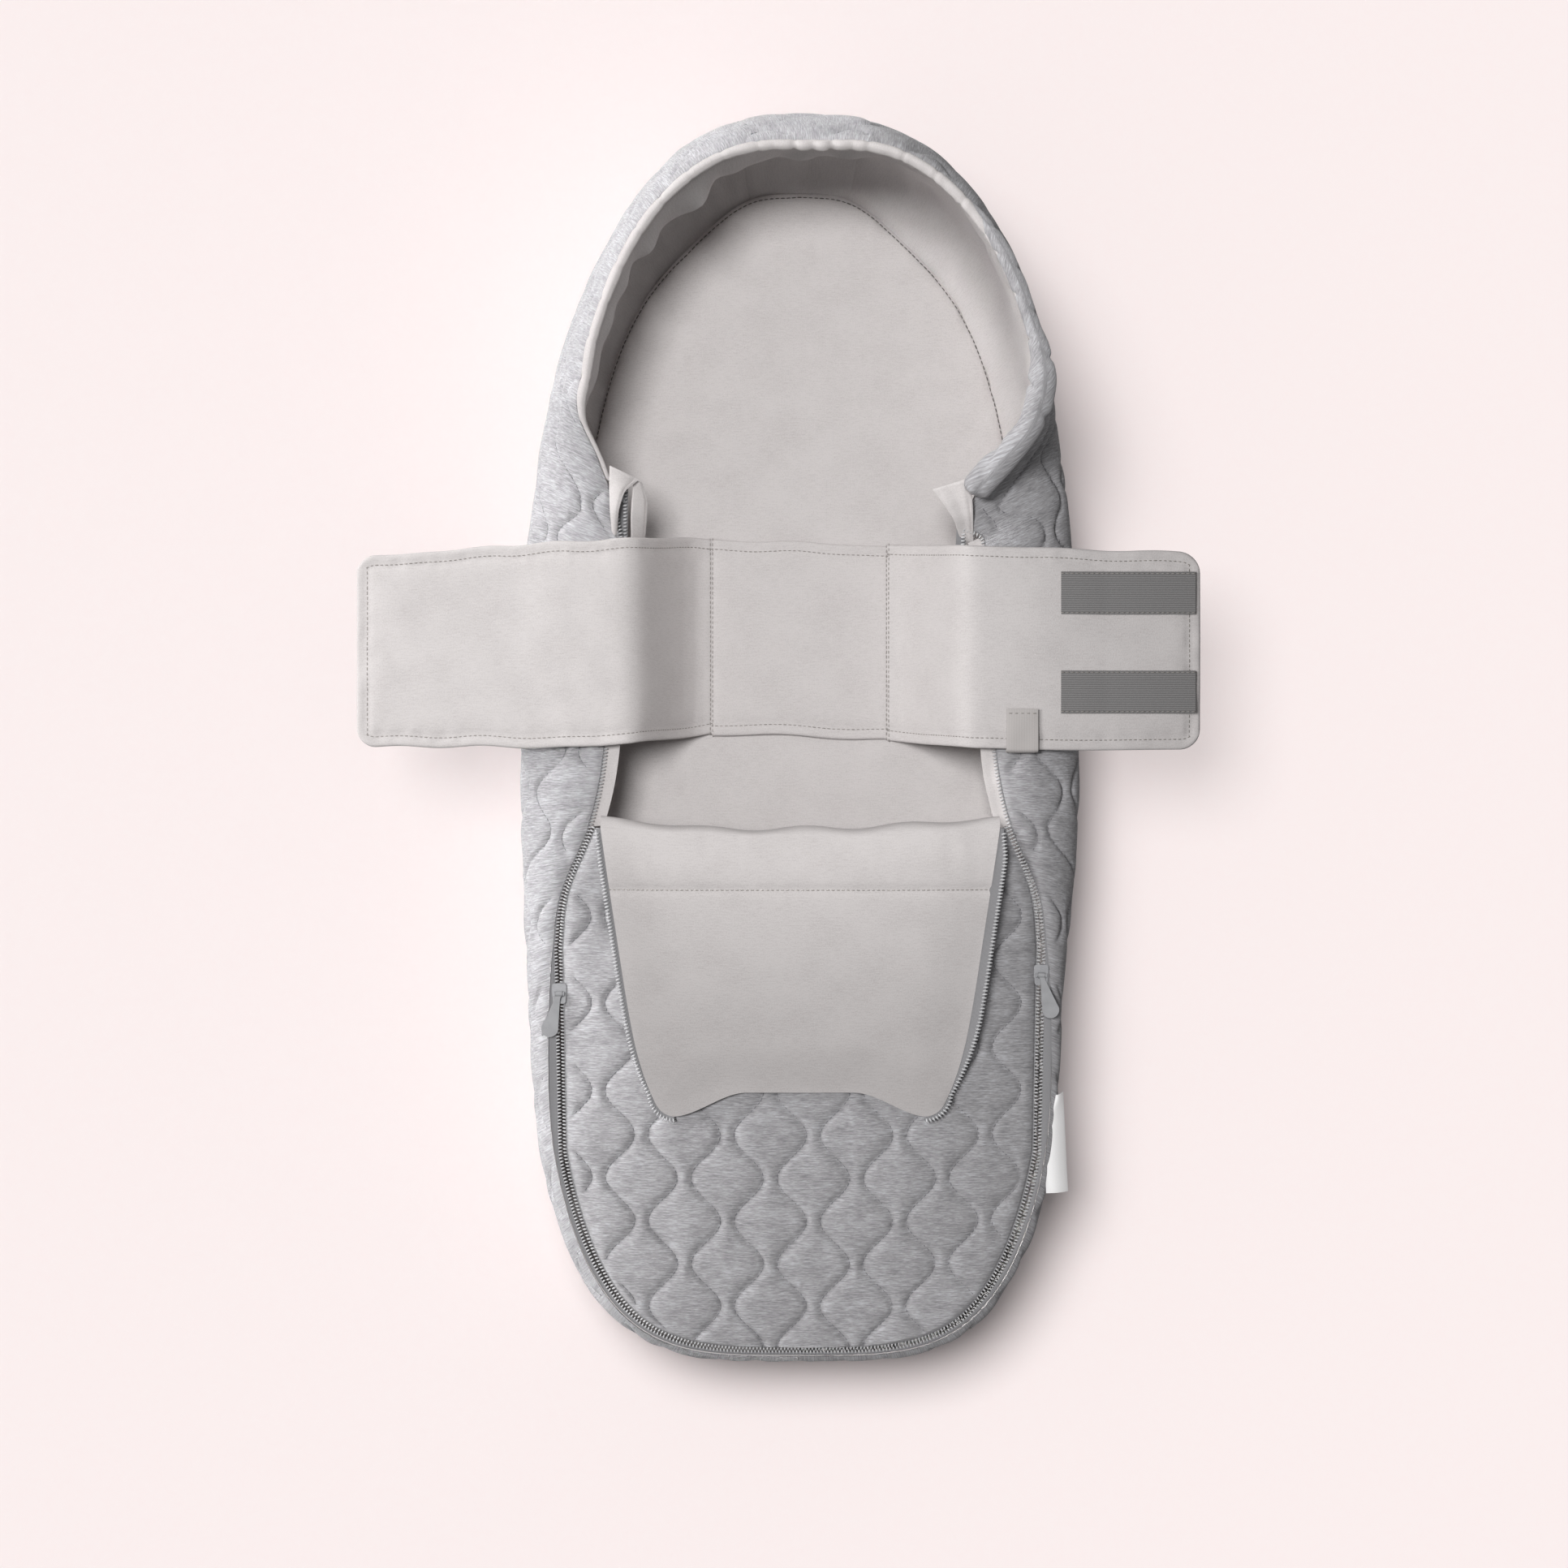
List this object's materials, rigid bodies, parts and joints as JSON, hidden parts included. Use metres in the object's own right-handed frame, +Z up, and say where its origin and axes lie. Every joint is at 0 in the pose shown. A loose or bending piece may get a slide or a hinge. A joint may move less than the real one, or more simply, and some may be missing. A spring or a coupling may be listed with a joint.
{
  "type": "baby sleeping bag",
  "caption": "Padded baby nest with a raised hood, a zipped front cover folded part-way down, and a swaddle wrap lying open across the middle.",
  "frame": {"origin": "middle of the bag's length and width, on the flat back that it lies on", "axes": "+X to the right seen from above with the hood up, +Y towards the hood, +Z up out of the opening"},
  "size_m": [0.493, 0.7375, 0.1269],
  "materials": {
    "quilted_jersey": "quilted cotton melange jersey",
    "lining_jersey": "soft brushed jersey",
    "polyester_wadding": "lofted polyester fill",
    "knitted_elastic": "knitted elastic tape",
    "zip_tape": "woven polyester tape",
    "zip_coil": "moulded nylon coil",
    "zip_enamel": "stoved enamel on zinc",
    "pull_rubber": "soft matt rubber",
    "hook_tape": "woven nylon tape with hooks",
    "loop_tape": "woven nylon tape with loops",
    "label_satin": "blank woven satin"
  },
  "bodies": {
    "nest": {"back_panel": "quilted_jersey", "base_pad": "polyester_wadding", "base_lining": "lining_jersey", "side_shell_left": "quilted_jersey", "side_shell_right": "quilted_jersey", "hood_shell": "quilted_jersey", "side_wadding_left": "polyester_wadding", "side_wadding_right": "polyester_wadding", "hood_wadding": "polyester_wadding", "side_lining_left": "lining_jersey", "side_lining_right": "lining_jersey", "hood_lining": "lining_jersey", "rim_casing": "lining_jersey", "rim_elastic": "knitted_elastic", "zip_tape_body": "zip_tape", "zip_coil_body": "zip_coil", "zip_stops_body": "zip_enamel", "zip_guard_left": "lining_jersey", "zip_guard_right": "lining_jersey", "zip_garage_left": "lining_jersey", "zip_garage_right": "lining_jersey", "cover_shell": "quilted_jersey", "cover_wadding": "polyester_wadding", "cover_lining": "lining_jersey", "zip_tape_cover": "zip_tape", "zip_coil_cover": "zip_coil", "wrap_panel": "lining_jersey", "wrap_riser_left": "lining_jersey", "wrap_riser_right": "lining_jersey", "side_label": "label_satin"},
    "cover_flap": {"flap_shell": "quilted_jersey", "flap_wadding": "polyester_wadding", "flap_lining": "lining_jersey", "zip_tape_flap": "zip_tape", "zip_coil_flap": "zip_coil", "zip_stops_flap": "zip_enamel"},
    "left_wing": {"wing_left_face": "lining_jersey", "wing_left_fleece": "polyester_wadding", "wing_left_back": "lining_jersey", "loop_strips": "loop_tape"},
    "right_wing": {"wing_right_face": "lining_jersey", "wing_right_fleece": "polyester_wadding", "wing_right_back": "lining_jersey", "hook_strips": "hook_tape", "wrap_tab": "lining_jersey"},
    "left_slider": {"zip_slider_left": "zip_enamel"},
    "left_pull": {"zip_pull_left": "pull_rubber"},
    "right_slider": {"zip_slider_right": "zip_enamel"},
    "right_pull": {"zip_pull_right": "pull_rubber"}
  },
  "joints": [
    {"name": "flap_fold", "type": "hinge", "parent": "nest", "child": "cover_flap", "pos_m": [0, -0.051, 0.104], "axis": [-1, 0, 0], "range_deg": [0, 182]},
    {"name": "left_wing_fold", "type": "hinge", "parent": "nest", "child": "left_wing", "pos_m": [-0.094, 0, 0.08551], "axis": [0, 1, 0], "range_deg": [0, 187]},
    {"name": "right_wing_fold", "type": "hinge", "parent": "nest", "child": "right_wing", "pos_m": [0.094, 0, 0.08551], "axis": [0, -1, 0], "range_deg": [0, 180]},
    {"name": "left_slider_run", "type": "slide", "parent": "nest", "child": "left_slider", "axis": [0.0209, -0.9998, 0], "range_m": [0, 0.08]},
    {"name": "left_pull_swing", "type": "hinge", "parent": "left_slider", "child": "left_pull", "pos_m": [-0.14185, -0.149, 0.0784], "axis": [-0.9998, -0.0209, 0], "range_deg": [0, 150]},
    {"name": "right_slider_run", "type": "slide", "parent": "nest", "child": "right_slider", "axis": [-0.0209, -0.9998, 0], "range_m": [0, 0.08]},
    {"name": "right_pull_swing", "type": "hinge", "parent": "right_slider", "child": "right_pull", "pos_m": [0.14208, -0.138, 0.0784], "axis": [-0.9998, 0.0209, 0], "range_deg": [0, 150]}
  ]
}
